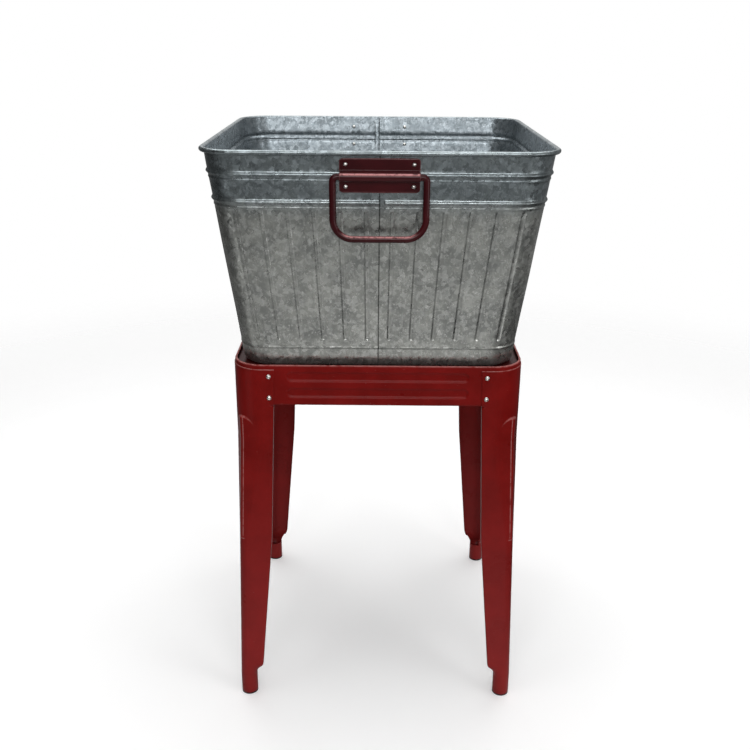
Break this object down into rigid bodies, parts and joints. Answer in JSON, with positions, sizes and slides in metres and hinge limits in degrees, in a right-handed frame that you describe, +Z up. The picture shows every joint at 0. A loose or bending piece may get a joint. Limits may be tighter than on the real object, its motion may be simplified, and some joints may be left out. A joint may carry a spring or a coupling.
{
  "type": "wash tub on stand",
  "caption": "Square galvanised wash tub with rolled rim, pressed flutes and two red drop handles, resting in a red four-legged pressed-steel stand.",
  "frame": {"origin": "on the floor under the middle of the stand", "axes": "+Z up, -Y towards the front handle, +X to the right seen from the front"},
  "size_m": [0.508, 0.516, 0.9175],
  "materials": {
    "red_paint": "semi-gloss red paint, rubbed light along its edges",
    "maroon_paint": "semi-gloss dark red paint",
    "galvanised_steel": "hot-dip galvanised, with large grey spangles",
    "bright_steel": "bright zinc plate",
    "foot_rubber": "matt black"
  },
  "bodies": {
    "stand": {"apron_band": "red_paint", "tub_seat_frame": "red_paint", "leg_front_left": "red_paint", "leg_front_right": "red_paint", "leg_back_left": "red_paint", "leg_back_right": "red_paint", "foot_plug_front_left": "foot_rubber", "foot_plug_front_right": "foot_rubber", "foot_plug_back_left": "foot_rubber", "foot_plug_back_right": "foot_rubber", "leg_screws_front_left": "bright_steel", "leg_screws_front_right": "bright_steel", "leg_screws_back_left": "bright_steel", "leg_screws_back_right": "bright_steel", "leg_nuts_front_left": "bright_steel", "leg_nuts_front_right": "bright_steel", "leg_nuts_back_left": "bright_steel", "leg_nuts_back_right": "bright_steel"},
    "tub": {"tub_wall_left": "galvanised_steel", "tub_wall_right": "galvanised_steel", "rim_wire": "galvanised_steel", "tub_bottom_pan": "galvanised_steel", "handle_plate_front": "maroon_paint", "handle_plate_back": "maroon_paint", "handle_rivets_front": "bright_steel", "handle_rivets_back": "bright_steel"},
    "front_handle": {"bail_front": "maroon_paint"},
    "back_handle": {"bail_back": "maroon_paint"}
  },
  "joints": [
    {"name": "tub_lift", "type": "slide", "parent": "stand", "child": "tub", "axis": [0, 0, 1], "range_m": [0, 0.12]},
    {"name": "front_handle_swing", "type": "hinge", "parent": "tub", "child": "front_handle", "pos_m": [0, -0.25144, 0.88256], "axis": [-1, 0, 0], "range_deg": [-6, 162]},
    {"name": "back_handle_swing", "type": "hinge", "parent": "tub", "child": "back_handle", "pos_m": [0, 0.25144, 0.88256], "axis": [1, 0, 0], "range_deg": [-6, 162]}
  ]
}
